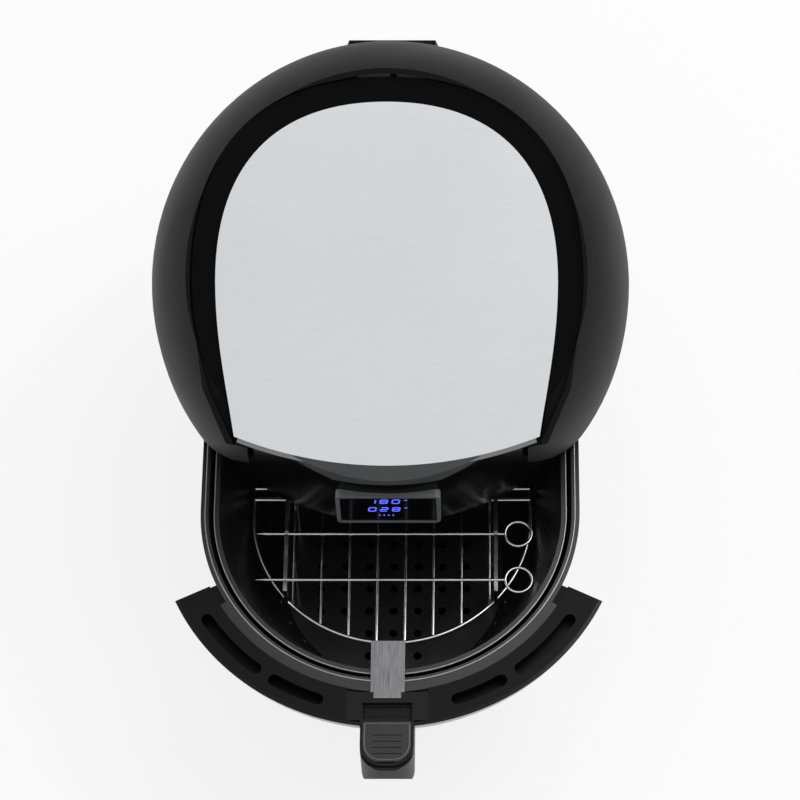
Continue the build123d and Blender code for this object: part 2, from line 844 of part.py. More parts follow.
def make_latch():
    top = channel_z - 4.0
    stem = box(-4, 4, button_y1 - 5, button_y1 - 1.5, block_low - 4, top)
    return stem + box(-4, 4, button_y1 - 5, button_y1 + 2.5, block_low - 8, block_low - 4)


def make_button_guard():
    ch = handle_half - channel_wall - play
    y1 = -block_front - 1.0
    y0 = y1 - guard_l
    z0 = channel_z + play
    guard = box(-ch, ch, y0, y1, z0, panel_top) & handle_plan(cap_reach, channel_wall + play)
    guard += box(-6, 6, y0 + 2, y0 + 14, channel_z - 3.7, z0)
    guard += box(-9, 9, y0 + 2, y0 + 14, channel_z - 3.7, channel_z - 2)
    for i in range(4):
        guard -= box(-9, 9, y0 + 4 + 4 * i, y0 + 5.5 + 4 * i, panel_top - 0.6, panel_top + 1)
    return guard


def make_panel_screws():
    screws = []
    for s in (-1, 1):
        for a in (25, 50):
            t = math.radians(s * a)
            r = pan_half + pan_front_lip - 2
            body = rod(2, pan_rim_z - sheet - 9, pan_rim_z - sheet - 3)
            screws.append(Pos(r * math.sin(t), -r * math.cos(t), 0) * body)
    return Compound(children=screws)


# Basket with perforated floor, its bracket to the handle, feet and bumpers
basket_rim_z = pan_rim_z - 2.2


def make_basket():
    top = basket_rim_z
    basket = u_taper(basket_top, basket_floor, 0, basket_floor_z, top)
    basket += u_solid(basket_half + 2, basket_back + 2, basket_corner + 2, top - 2, top)
    basket -= u_taper(basket_top, basket_floor, 1, basket_floor_z + 1, top + 0.01)
    reach = basket_floor[0] - 10
    holes = []
    for i in range(-5, 6):
        for j in range(-5, 5):
            x = 16 * i
            y = 16 * j + 8
            inside = math.hypot(x, y) < reach if y < 0 else abs(x) < reach and y < reach - 8
            corner = y > 24 and abs(x) > 40
            foot = min(abs(abs(x) - basket_foot), 99) < 9 and min(abs(abs(y) - basket_foot), 99) < 9
            if inside and not corner and not foot:
                holes.append(rod(2.6, basket_floor_z - 1, basket_floor_z + 2, x, y))
    for i in range(-7, 8):
        a = math.radians(12 * i)
        hole = Pos(0, -basket_floor[0] - 6, basket_floor_z + 16) * Rot(90, 0, 0) * Cylinder(3, 20)
        holes.append(Rot(0, 0, math.degrees(a)) * hole)
    return basket - holes


basket_foot = 40.0


def make_basket_feet():
    feet = []
    for sx in (-1, 1):
        for sy in (-1, 1):
            feet.append(rod(6, pan_floor_z + sheet, basket_floor_z, sx * basket_foot, sy * basket_foot))
    return Compound(children=feet)


bracket_half = 10.5
bracket_in = 19.0


def make_bracket():
    z1 = pan_rim_z + play
    y_in = bracket_in - basket_half
    top = box(-bracket_half, bracket_half, -block_back, y_in, z1, z1 + 1.8 - 0.8)
    leg = box(-bracket_half, bracket_half, y_in - 1.8, y_in, z1 - 22, z1 + 1)
    flange = box(-bracket_half, -bracket_half + 1.5, -basket_half, y_in, z1 - 22, z1 - 4)
    flange += box(bracket_half - 1.5, bracket_half, -basket_half, y_in, z1 - 22, z1 - 4)
    inside = u_taper(basket_top, basket_floor, 1 + touch, basket_floor_z + 1, basket_rim_z)
    bracket = top + leg + (flange & inside)
    tongue = box(-bracket_half + 2, bracket_half - 2, -block_back - 4, -block_back, z1, z1 + 1)
    bracket += tongue
    return bracket - Pos(0, y_in, pan_rim_z - 12) * Rot(90, 0, 0) * Cylinder(2, 10)


def make_bracket_screw():
    y_in = bracket_in - basket_half
    z = pan_rim_z - 12
    screw = Pos(0, y_in, z) * Rot(90, 0, 0) * Cylinder(2, 3.6)
    return screw + Pos(0, y_in + 0.9, z) * Rot(90, 0, 0) * Cylinder(4, 1.8)


# Wire rack with two notched side bars, and the two skewers
def make_rack():
    z = rack_z
    front = ThreePointArc((-rack_half, rack_shift), (0, rack_shift - rack_half), (rack_half, rack_shift))
    path = front + [
        Line((rack_half, rack_shift), (rack_half, rack_back)),
        Line((-rack_half, rack_back), (-rack_half, rack_shift)),
    ]
    section = Plane(origin=(rack_half, rack_back, 0), z_dir=(0, -1, 0)) * Circle(rack_wire)
    rack = sweep(section, Wire(path.edges()))
    rack = Pos(0, 0, z) * rack
    rack += bar_between((-rack_half, rack_back, z), (rack_half, rack_back, z), rack_wire)
    rack += bar_between((-rack_half, bar_back, z), (rack_half, bar_back, z), rack_wire)
    for i in range(8):
        x = grid_pitch * (i - 3.5)
        y = rack_shift - math.sqrt(rack_half ** 2 - x ** 2)
        rack += bar_between((x, y, z), (x, rack_back, z), grid_wire)
    for s in (-1, 1):
        for y in (-16, 32):
            rack += rod(rack_wire, basket_floor_z + 1, z, s * 3.5 * grid_pitch, y)
    return rack


bar_back = 30.0
bar_front = rack_shift - math.sqrt(rack_half ** 2 - bar_x ** 2)


def make_side_bar(side):
    z0 = skewer_z + 2 - bar_h
    bar = box(-bar_t / 2, bar_t / 2, bar_front - 3, bar_back + 3, z0, z0 + bar_h)
    for y in (bar_front, bar_back):
        bar += box(-bar_t / 2, bar_t / 2, y - 3, y + 3, rack_z, z0)
    for y in (skewer_front_y, skewer_rear_y):
        r = skewer_r + skewer_fit
        bar -= Pos(0, y, skewer_z) * Rot(0, 90, 0) * Cylinder(r, 10)
        bar -= box(-5, 5, y - r, y + r, skewer_z, skewer_z + 9)
    return (Pos(side * bar_x, 0, 0) * bar) - make_rack()


def make_skewer(y):
    left = -bar_x - 13
    right = bar_x + 6
    wire = bar_between((left, 0, 0), (right, 0, 0), skewer_r)
    wire += Pos(left - 3, 0, 0) * Rot(0, -90, 0) * Cone(skewer_r, 0.2, 6)
    wire += Pos(right + loop_r, 0, 0) * Torus(loop_r, skewer_r)
    return Pos(0, y, skewer_z) * wire


def main():
    os.makedirs("parts", exist_ok=True)
    fixed = {
        "base_tray": make_base_tray(),
        "rubber_feet": make_feet(),
        "base_screws": make_base_screws(),
        "outer_shell": make_shell(),
        "top_deck": make_deck(),
        "top_plate": make_plate(),
        "chin_trim": make_chin(),
        "front_fascia": make_fascia(),
        "display_bezel": make_bezel(),
        "display_window": make_window(),
        "display_board": make_board(),
        "rear_vent": make_vent(),
        "rear_grille": make_vent_grille(),
        "mains_inlet": make_inlet(),
        "cavity_liner": make_liner(),
        "runner_left": make_runner(-1),
        "runner_right": make_runner(1),
        "head_floor": make_head_floor(),
        "head_screws": make_head_screws(),
        "reflector": make_reflector(),
        "heating_element": make_element(),
        "element_bushes": make_element_bushes(),
        "element_clips": make_element_clips(),
        "element_guard": make_guard_grille(),
        "motor_bracket": make_motor_bracket(),
        "motor_case": make_motor_case(),
        "motor_stator": make_stator(),
        "bearing_lower": make_bearing(motor_z),
        "bearing_upper": make_bearing(motor_z + motor_h - 3),
        "temp_sensor": make_temp_sensor(),
        "thermal_fuse": make_thermal_fuse(),
        "power_board": make_power_board(),
        "drawer_switch": make_drawer_switch(),
        "motor_shaft": make_shaft(),
        "motor_core": make_motor_core(),
        "air_fan": make_air_fan(),
        "fan_nut": make_fan_nut(),
        "cooling_fan": make_cooling_fan(),
    }
    moving = {
        "pan": make_pan(),
        "panel_frame": make_panel_frame(),
        "panel_skin": make_panel_skin(),
        "panel_screws": make_panel_screws(),
        "handle_body": make_handle_body(),
        "handle_cap": make_handle_cap(),
        "release_button": make_button(),
        "latch_stem": make_latch(),
        "button_guard": make_button_guard(),
        "basket": make_basket(),
        "basket_feet": make_basket_feet(),
        "basket_bracket": make_bracket(),
        "bracket_screw": make_bracket_screw(),
        "wire_rack": make_rack(),
        "rack_bar_left": make_side_bar(-1),
        "rack_bar_right": make_side_bar(1),
        "skewer_front": make_skewer(skewer_front_y),
        "skewer_rear": make_skewer(skewer_rear_y),
    }
    for name, solid in fixed.items():
        write(name, solid)
    for name, solid in moving.items():
        write(name, solid, drawer_out)


if __name__ == "__main__":
    main()
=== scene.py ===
import math
import bpy
import numpy as np
from bpy.props import FloatProperty, FloatVectorProperty, PointerProperty
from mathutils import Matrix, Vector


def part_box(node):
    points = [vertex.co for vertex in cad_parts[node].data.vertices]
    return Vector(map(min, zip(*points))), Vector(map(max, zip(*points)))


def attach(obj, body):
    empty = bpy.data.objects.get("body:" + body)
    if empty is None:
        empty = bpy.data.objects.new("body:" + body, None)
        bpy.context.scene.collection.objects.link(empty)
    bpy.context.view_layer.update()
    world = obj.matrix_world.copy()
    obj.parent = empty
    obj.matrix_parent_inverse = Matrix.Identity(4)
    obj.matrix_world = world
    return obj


bl_info = {
    "name": "Ball Air Fryer",
    "version": (1, 0, 0),
    "blender": (4, 5, 0),
    "location": "View3D > Sidebar > Fryer",
    "description": "Finishes, display figures and studio stage for a ball-shaped air fryer",
    "category": "Object",
}

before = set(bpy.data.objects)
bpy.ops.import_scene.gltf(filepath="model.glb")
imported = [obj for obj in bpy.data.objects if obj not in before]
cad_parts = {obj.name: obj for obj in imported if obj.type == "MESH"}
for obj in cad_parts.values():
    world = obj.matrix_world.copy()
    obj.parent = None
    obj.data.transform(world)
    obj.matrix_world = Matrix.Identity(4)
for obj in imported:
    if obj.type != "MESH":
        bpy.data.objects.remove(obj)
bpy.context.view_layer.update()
WINDOW_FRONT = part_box("display_window")[0][1]


def colour(name, words, default):
    """A colour the user may change."""
    return FloatVectorProperty(
        name=name, description=words, subtype="COLOR", size=3, min=0.0, max=1.0, default=default)


def length(name, words, default):
    """A length the user may change, in metres."""
    return FloatProperty(name=name, description=words, unit="LENGTH", default=default)


def amount(name, words, default):
    """A plain number the user may change."""
    return FloatProperty(name=name, description=words, default=default)


class FryerFinish(bpy.types.PropertyGroup):
    """Colours and surface values of the finishes."""
    charcoal: colour("Charcoal", "Matte moulded body", (0.0048, 0.0048, 0.0052))
    gloss: colour("Gloss black", "Polished trim", (0.003, 0.003, 0.0032))
    silver: colour("Silver", "Brushed top plate", (0.87, 0.895, 0.92))
    bezel: colour("Bezel", "Satin frame of the display", (0.25, 0.26, 0.27))
    # The lip's darker grey is painted shade: the plate's edge thickness, turned away from the light.
    lip: colour("Lip", "Painted shade on the plate's front edge", (0.21, 0.215, 0.22))
    chin: colour("Chin", "Satin trim under the plate", (0.055, 0.056, 0.058))
    front: colour("Front", "Grained frame of the drawer front", (0.004, 0.004, 0.0043))
    coat: colour("Coating", "Non-stick pan and basket", (0.010, 0.010, 0.0105))
    handle: colour("Handle", "Soft black handle", (0.008, 0.008, 0.0085))
    chrome: colour("Chrome", "Plated wire", (0.74, 0.74, 0.75))
    steel: colour("Steel", "Brushed steel strip", (0.185, 0.185, 0.19))
    sheet: colour("Sheet", "Zinc-coated inner sheet", (0.56, 0.57, 0.58))
    figures: colour("Figures", "Lit display figures", (0.11, 0.13, 0.95))
    smoke: colour("Smoke", "Sliding button guard", (0.009, 0.009, 0.0096))
    # Lighter smoke on the guard's edge bead is a painted highlight along its rim.
    edge: colour("Edge", "Painted highlight on the guard's edge", (0.13, 0.13, 0.135))
    # Light grey metal on the rolled edges is a painted highlight, standing in for the light that the rims
    # catch.
    rim: colour("Rim", "Painted highlight on the rolled edges of pan and basket", (0.36, 0.36, 0.37))


class FryerDisplay(bpy.types.PropertyGroup):
    """Sizes of the lit figures, seen on the display window."""
    figure_h: length("Figure height", "Height of a figure", 0.0060)
    figure_w: length("Figure width", "Width of a figure", 0.0052)
    pitch: length("Pitch", "From one figure to the next", 0.0074)
    bar: length("Bar", "Half width of a lit bar", 0.00048)
    right: length("Right edge", "Right edge of both rows", 0.0074)
    upper_z: length("Upper row", "Middle height of the temperature row", 0.1929)
    lower_z: length("Lower row", "Middle height of the time row", 0.1818)
    sign_z: length("Signs", "Middle height of the small signs", 0.1734)
    sign_pitch: length("Sign pitch", "From one small sign to the next", 0.0028)
    sign_w: length("Sign width", "Length of a level sign", 0.0016)
    sign_h: length("Sign height", "Length of an upright sign", 0.0022)
    sign_bar: length("Sign bar", "Half width of a sign's bar", 0.0004)
    unit_gap: length("Unit gap", "Unit bar to the right of its row", 0.0035)
    unit_rise: length("Unit rise", "Unit bar above its row's middle", 0.002)
    unit_w: length("Unit width", "Length of a unit bar", 0.0022)
    ahead: length("Ahead", "Lit bars in front of the window's face", 0.0002)
    depth: length("Depth", "Depth of a lit bar", 0.0005)
    slant: amount("Slant", "Sideways lean per unit of height", 0.12)


class FryerDrawer(bpy.types.PropertyGroup):
    """Places of the rolled edges, from the drawer's plan line."""
    middle: length("Middle", "Depth of the drawer's round front centre", -0.059)
    bead: length("Bead", "Radius of a rolled edge", 0.0006)
    pan_in: length("Pan edge", "Pan's rolled edge inside its lip", 0.0030)
    pan_back: length("Pan rear edge", "Pan's rolled edge inside its rear lip", 0.0030)
    pan_corner: length("Pan corner", "Rear corner radius of the pan's edge", 0.0468)
    basket_corner: length("Basket corner", "Rear corner radius of the basket's edge", 0.044)
    # The guard's light edge is a bead of painted highlight.
    guard_in: length("Guard edge highlight", "Guard's light edge inside its outline", 0.0012)
    guard_round: length("Guard round", "Front corner radius of the guard's edge", 0.0103)


class FryerPlate(bpy.types.PropertyGroup):
    """Place of the top plate's bowed front edge on its slanted plane, where a darker strip paints the shade
    of the edge's thickness.
    """
    slant: FloatProperty(name="Slant", description="Tilt of the plate toward the front", subtype="ANGLE",
                         default=math.radians(29.2))
    depth: length("Depth", "Depth of the slanted plane's middle", 0.02917)
    height: length("Height", "Height of the slanted plane's middle", 0.2798)
    bow: length("Bow", "Radius of the front edge", 0.2534)
    bow_mid: length("Bow middle", "From the plane's middle to the middle of the bow", 0.1441)
    span: FloatProperty(name="Span", description="Half angle of the front edge", subtype="ANGLE",
                        default=math.radians(21.0))
    # Width of the strip of painted shade.
    lip: length("Lip", "Width of the darker edge", 0.0027)
    sink: length("Sink", "Edge below the plate's face", 0.00045)
    thick: length("Thickness", "Thickness of the edge strip", 0.0003)


class FryerStage(bpy.types.PropertyGroup):
    """Camera and light of the picture."""
    lens: amount("Lens", "Focal length in millimetres", 143.4)
    shift: amount("Shift", "Sideways shift of the picture", -0.1016)
    distance: length("Distance", "Camera to the aim point", 2.0)
    elevation: amount("Elevation", "Degrees above the horizon", 62.71)
    sensor: amount("Sensor", "Width of the film in millimetres", 36.0)
    far: length("Far", "Farthest distance seen", 50.0)
    aim: FloatVectorProperty(
        name="Aim", description="Point the camera looks at", subtype="TRANSLATION",
        default=(0.0577, -0.0054, 0.196))
    floor: colour("Floor", "Pale studio floor", (0.93, 0.93, 0.93))
    reach: length("Reach", "Half width of the floor", 6.0)
    key: amount("Key", "Power of the broad lamp in watts", 16.0)
    key_w: length("Key width", "Width of the lamp", 1.6)
    key_d: length("Key depth", "Depth of the lamp", 1.2)
    key_at: FloatVectorProperty(
        name="Key place", description="Place of the lamp", subtype="TRANSLATION", default=(0.9, 0.5, 1.9))
    key_back: amount("Key back", "Degrees that the lamp leans about the side axis", -14.0)
    key_side: amount("Key side", "Degrees that the lamp leans about the depth axis", 24.0)
    sky: amount("Sky", "Strength of the even studio light", 0.7)
    paper: amount("Paper", "Share of plain white in the seen floor", 0.8)


# Node helpers for the finishes
class Finish:
    """A node material that is built step by step around one principled shader."""

    def __init__(self, name):
        self.mat = bpy.data.materials.new(name)
        self.mat.use_nodes = True
        self.tree = self.mat.node_tree
        self.bsdf = self.tree.nodes["Principled BSDF"]

    def set(self, **values):
        """Give the shader plain values, with underscores for the spaces in their names."""
        for key, value in values.items():
            self.bsdf.inputs[key.replace("_", " ")].default_value = value
        return self

    def node(self, kind, **values):
        """A new node with its inputs set by position name."""
        made = self.tree.nodes.new(kind)
        for key, value in values.items():
            made.inputs[key].default_value = value
        return made

    def link(self, out, into):
        self.tree.links.new(out, into)

    def place(self, scale=(1, 1, 1), turn=(0, 0, 0)):
        """Object coordinates, stretched and turned."""
        where = self.tree.nodes.new("ShaderNodeTexCoord")
        mapping = self.node("ShaderNodeMapping", Scale=scale, Rotation=turn)
        self.link(where.outputs["Object"], mapping.inputs["Vector"])
        return mapping.outputs["Vector"]

    def noise(self, vector, scale, detail=3.0, rough=0.5):
        made = self.node("ShaderNodeTexNoise", Scale=scale, Detail=detail, Roughness=rough)
        self.link(vector, made.inputs["Vector"])
        return made.outputs["Fac"]

    def cells(self, vector, scale, feature="F1"):
        made = self.node("ShaderNodeTexVoronoi", Scale=scale)
        made.feature = feature
        self.link(vector, made.inputs["Vector"])
        return made.outputs["Distance"]

    def spread(self, value, low, high, start=0.3, end=0.7):
        """A pattern's value carried to another range."""
        made = self.node("ShaderNodeMapRange")
        for key, number in (("From Min", start), ("From Max", end), ("To Min", low), ("To Max", high)):
            made.inputs[key].default_value = number
        self.link(value, made.inputs["Value"])
        return made.outputs["Result"]

    def tint(self, value, first, second, start=0.3, end=0.7):
        """A pattern's value as a blend of two colours on the base colour."""
        ramp = self.tree.nodes.new("ShaderNodeValToRGB")
        ramp.color_ramp.elements[0].position = start
        ramp.color_ramp.elements[1].position = end
        ramp.color_ramp.elements[0].color = (*first, 1)
        ramp.color_ramp.elements[1].color = (*second, 1)
        self.link(value, ramp.inputs["Fac"])
        self.link(ramp.outputs["Color"], self.bsdf.inputs["Base Color"])
        return self

    def rough(self, value, low, high, start=0.3, end=0.7):
        self.link(self.spread(value, low, high, start, end), self.bsdf.inputs["Roughness"])
        return self

    def bump(self, value, strength, depth):
        made = self.node("ShaderNodeBump", Strength=strength, Distance=depth)
        self.link(value, made.inputs["Height"])
        self.link(made.outputs["Normal"], self.bsdf.inputs["Normal"])
        return self


def shade(rgb, k):
    """A colour made lighter or darker by a factor."""
    return tuple(min(1.0, k * c) for c in rgb)


def moulded(name, rgb, rough, grain=2600.0, depth=0.00006, gloss=0.4):
    """Moulded plastic: fine spark-eroded grain, faint clouding in colour and gloss."""
    f = Finish(name).set(Specular_IOR_Level=gloss)
    space = f.place()
    cloud = f.noise(space, 18, 4)
    fine = f.noise(space, grain, 2)
    f.tint(cloud, shade(rgb, 0.9), shade(rgb, 1.12))
    f.rough(cloud, rough - 0.03, rough + 0.04)
    return f.bump(fine, 0.35, depth).mat


def polished(name, rgb, rough, gloss=0.22):
    """Polished plastic: smooth, with faint wipe marks in its gloss."""
    f = Finish(name).set(Specular_IOR_Level=gloss)
    space = f.place()
    marks = f.noise(space, 30, 6, 0.65)
    f.tint(marks, shade(rgb, 0.85), shade(rgb, 1.25))
    f.rough(marks, rough, rough + 0.05)
    return f.bump(f.noise(space, 60, 2), 0.02, 0.0004).mat


def brushed(name, rgb, rough, along=(1, 60, 60), grain=90.0, metal=1.0, contrast=0.05):
    """Brushed metal: long fine lines in one direction, in colour, gloss and height."""
    f = Finish(name).set(Metallic=metal)
    lines = f.noise(f.place(along), grain, 5, 0.6)
    cloud = f.noise(f.place(), 9, 3)
    f.tint(lines, shade(rgb, 1 - contrast), shade(rgb, 1 + contrast))
    f.rough(cloud, rough - 0.04, rough + 0.05)
    return f.bump(lines, 0.05, 0.00005).mat


def plated(name, rgb, rough):
    """Plated metal: bright, slightly uneven."""
    f = Finish(name).set(Metallic=1.0)
    space = f.place()
    spots = f.noise(space, 140, 4)
    f.tint(spots, shade(rgb, 0.86), shade(rgb, 1.05))
    f.rough(spots, rough, rough + 0.1)
    return f.bump(f.noise(space, 500, 2), 0.05, 0.00005).mat


def coated(name, rgb, rough):
    """Non-stick coat: satin, with a fine orange-peel skin and tiny specks."""
    f = Finish(name).set(Specular_IOR_Level=0.5)
    space = f.place()
    specks = f.cells(space, 900)
    peel = f.noise(space, 1400, 2)
    f.tint(specks, shade(rgb, 1.9), rgb, 0.05, 0.22)
    f.rough(f.noise(space, 40, 4), rough - 0.05, rough + 0.06)
    return f.bump(peel, 0.25, 0.00008).mat


def rubbery(name, rgb):
    """Rubber: very matte with a dusty bloom."""
    f = Finish(name).set(Specular_IOR_Level=0.35)
    space = f.place()
    bloom = f.noise(space, 70, 6)
    f.tint(bloom, rgb, shade(rgb, 1.8))
    f.rough(bloom, 0.72, 0.86)
    return f.bump(f.noise(space, 1800, 2), 0.3, 0.00008).mat


def zinc(name, rgb):
    """Zinc-coated sheet: large soft crystal spangles."""
    f = Finish(name).set(Metallic=1.0)
    space = f.place()
    spangle = f.cells(space, 130)
    f.tint(spangle, shade(rgb, 0.8), shade(rgb, 1.1), 0.0, 0.8)
    f.rough(spangle, 0.3, 0.42, 0.0, 0.8)
    return f.bump(f.noise(space, 300, 3), 0.06, 0.0001).mat


def heated(name, rgb):
    """Heated steel tube: bands of straw and blue tempering colour."""
    f = Finish(name).set(Metallic=1.0)
    space = f.place()
    bands = f.noise(space, 26, 4)
    f.tint(bands, rgb, (0.30, 0.20, 0.13))
    f.rough(bands, 0.34, 0.5)
    return f.bump(f.noise(space, 700, 3), 0.1, 0.00008).mat


def laminate(name):
    """Circuit laminate: green mask with lighter tracks."""
    f = Finish(name).set(Specular_IOR_Level=0.5)
    space = f.place()
    tracks = f.cells(space, 160, "DISTANCE_TO_EDGE")
    f.tint(tracks, (0.06, 0.24, 0.10), (0.012, 0.075, 0.032), 0.02, 0.08)
    f.rough(tracks, 0.28, 0.4, 0.0, 0.2)
    return f.bump(tracks, 0.1, 0.0001).mat


def fired(name):
    """Fired ceramic: chalky white with small pits."""
    f = Finish(name).set(Specular_IOR_Level=0.4)
    space = f.place()
    pits = f.noise(space, 500, 4)
    f.tint(pits, (0.70, 0.67, 0.61), (0.80, 0.78, 0.73))
    f.rough(pits, 0.55, 0.7)
    return f.bump(pits, 0.2, 0.0001).mat


def wound(name, rgb):
    """Varnished windings: close parallel turns about the upright axis."""
    f = Finish(name).set(Metallic=0.8)
    turns = f.noise(f.place((1, 1, 40)), 60, 2)
    f.tint(turns, shade(rgb, 0.6), shade(rgb, 1.15))
    f.rough(turns, 0.25, 0.4)
    return f.bump(turns, 0.4, 0.0002).mat


def smoky(name, rgb):
    """Smoky clear plastic: partly see-through with light scuffs."""
    f = Finish(name).set(Transmission_Weight=0.35, IOR=1.49)
    space = f.place((1, 6, 1))
    scuffs = f.noise(space, 160, 5, 0.65)
    f.tint(scuffs, shade(rgb, 0.85), shade(rgb, 1.2))
    f.rough(scuffs, 0.22, 0.42)
    return f.bump(scuffs, 0.05, 0.0001).mat


def lit(name, rgb, strength):
    """Lit figure: glowing colour, a little uneven along the bars."""
    f = Finish(name).set(Emission_Strength=strength, Roughness=0.4, Base_Color=(*rgb, 1))
    glow = f.noise(f.place(), 900, 2)
    ramp = f.tree.nodes.new("ShaderNodeValToRGB")
    ramp.color_ramp.elements[0].color = (*shade(rgb, 0.85), 1)
    ramp.color_ramp.elements[1].color = (*shade(rgb, 1.1), 1)
    f.link(glow, ramp.inputs["Fac"])
    f.link(ramp.outputs["Color"], f.bsdf.inputs["Emission Color"])
    return f.mat


def dress(material, *nodes):
    """Give a finish to CAD pieces."""
    for name in nodes:
        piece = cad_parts[name]
        if not piece.material_slots:
            raise RuntimeError("no material slot on " + name)
        for held in piece.material_slots:
            held.material = material


# New pieces
def bars_mesh(name, centres, spans, half, slant, y_front, depth, z_mid):
    """Lit bars as one mesh. Each bar is a hexagon stretched from one end to the other with pointed ends:
    its six corners are the two ends and four points one half-width in from them, set off by plus and minus
    the half-width. A height above the row's middle leans to the right by the slant. The front hexagon lies
    at y_front and is carried back by the depth."""
    ends = np.asarray(spans, float)
    run = ends / np.linalg.norm(ends, axis=1, keepdims=True)
    side = np.stack([-run[:, 1], run[:, 0]], axis=1)
    along = np.array([-1, -1, 1, 1, 1, -1], float)
    inner = np.array([0, 1, 1, 0, 1, 1], float)
    across = np.array([0, -1, -1, 0, 1, 1], float)
    flat = np.asarray(centres, float)[:, None, :] + along[None, :, None] * (
        ends[:, None, :] / 2 - inner[None, :, None] * half * run[:, None, :])
    flat = flat + across[None, :, None] * half * side[:, None, :]
    x = flat[..., 0] + slant * (flat[..., 1] - z_mid)
    z = flat[..., 1]
    front = np.stack([x, np.full_like(x, y_front), z], axis=-1)
    rear = front + np.array([0, depth, 0])
    count = len(ends)
    verts = np.concatenate([front, rear], axis=1).reshape(-1, 3)
    start = 12 * np.arange(count)[:, None]
    ring = np.arange(6)
    caps = (start + ring).tolist() + (start + 6 + ring[::-1]).tolist()
    nxt = (ring + 1) % 6
    quads = np.stack([ring, ring + 6, nxt + 6, nxt], axis=1)
    walls = (start[:, :, None] + quads[None]).reshape(-1, 4).tolist()
    mesh = bpy.data.meshes.new(name)
    mesh.from_pydata(verts.tolist(), [], caps + walls)
    mesh.update()
    piece = bpy.data.objects.new(name, mesh)
    bpy.context.collection.objects.link(piece)
    return piece


SEGMENTS = {
    "a": ((0, 0.5), (1, 0)), "b": ((0.5, 0.25), (0, 1)), "c": ((0.5, -0.25), (0, 1)),
    "d": ((0, -0.5), (1, 0)), "e": ((-0.5, -0.25), (0, 1)), "f": ((-0.5, 0.25), (0, 1)),
    "g": ((0, 0), (1, 0)),
}
LIT = {"0": "abcdef", "1": "bc", "2": "abged", "8": "abcdefg"}


def figure_bars(text, right, z_mid, w, h, pitch, bar):
    """Centres and spans of the lit bars of a row of figures, set from its right edge."""
    centres = []
    spans = []
    for place, sign in enumerate(reversed(text)):
        x_mid = right - w / 2 - place * pitch
        for key in LIT[sign]:
            (u, v), (across, up) = SEGMENTS[key]
            centres.append((x_mid + u * (w - 2 * bar), z_mid + v * (h - 2 * bar)))
            spans.append((across * (w - 2.2 * bar), up * (h / 2 - 1.2 * bar)))
    return centres, spans


def loop_path(half, front, back, front_r, back_r, steps=40):
    """Closed plan line as points and outward directions: a quarter circle round each of four corners, two
    of the front radius and two of the back radius, joined by straight runs. Each arc is its middle plus the
    radius times cosine and sine."""
    turn = np.linspace(0, math.pi / 2, steps)
    angles = np.concatenate([turn + quarter * math.pi / 2 for quarter in (2, 3, 0, 1)])
    out = np.stack([np.cos(angles), np.sin(angles)], axis=1)
    radii = np.repeat([front_r, front_r, back_r, back_r], steps)
    across = np.repeat([front_r - half, half - front_r, half - back_r, back_r - half], steps)
    along = np.repeat([front + front_r, front + front_r, back - back_r, back - back_r], steps)
    return np.stack([across, along], axis=1) + radii[:, None] * out, out


def bead_mesh(name, path, out, y_mid, z, r, sides=10):
    """Round bead along a closed plan line: each point plus the radius times cosine outward and sine
    upward."""
    turn = np.linspace(0, 2 * math.pi, sides, endpoint=False)
    flat = path[:, None, :] + r * np.cos(turn)[None, :, None] * out[:, None, :]
    high = np.broadcast_to(z + r * np.sin(turn)[None, :], flat.shape[:2])
    verts = np.stack([flat[..., 0], flat[..., 1] + y_mid, high], axis=-1)
    return grid_piece(name, verts)


def bowed_strip(name, plate, steps=60):
    """Strip along the plate's bowed front edge: a rectangle carried along an arc. On the slanted plane the
    arc is radius times sine across, and its middle less radius times cosine toward the back; the rectangle
    goes outward by the lip's width and down by its thickness. The plane's back and up directions then place
    it in the room."""
    # The strip's darker colour is painted shade of the plate's edge thickness.
    turn = np.linspace(-plate.span, plate.span, steps)[:, None]
    reach = plate.bow + np.array([plate.lip, plate.lip, 0.0, 0.0])[None, :]
    rise = -plate.sink - np.array([plate.thick, 0.0, 0.0, plate.thick])[None, :]
    across = reach * np.sin(turn)
    along = plate.bow_mid - reach * np.cos(turn)
    up = np.broadcast_to(rise, across.shape)
    cos = math.cos(plate.slant)
    sin = math.sin(plate.slant)
    y = plate.depth + along * cos - up * sin
    z = plate.height + along * sin + up * cos
    verts = np.stack([across, y, z], axis=-1)
    return grid_piece(name, verts, ring=False)


def grid_piece(name, verts, ring=True):
    """A piece from rows of closed profiles, its faces turned outward. The rows close on themselves in a
    ring, or else the first and the last row are capped."""
    rows, columns = verts.shape[:2]
    i, j = np.meshgrid(np.arange(rows if ring else rows - 1), np.arange(columns), indexing="ij")
    ni = (i + 1) % rows
    nj = (j + 1) % columns
    quads = np.stack([i * columns + j, ni * columns + j, ni * columns + nj, i * columns + nj], axis=-1)
    faces = quads.reshape(-1, 4).tolist()
    if not ring:
        first = np.arange(columns)
        faces += [first.tolist(), (first[::-1] + (rows - 1) * columns).tolist()]
    mesh = bpy.data.meshes.new(name)
    mesh.from_pydata(verts.reshape(-1, 3).tolist(), [], faces)
    mesh.polygons.foreach_set("use_smooth", np.full(len(faces), ring))
    mesh.update()
    piece = bpy.data.objects.new(name, mesh)
    bpy.context.collection.objects.link(piece)
    return piece


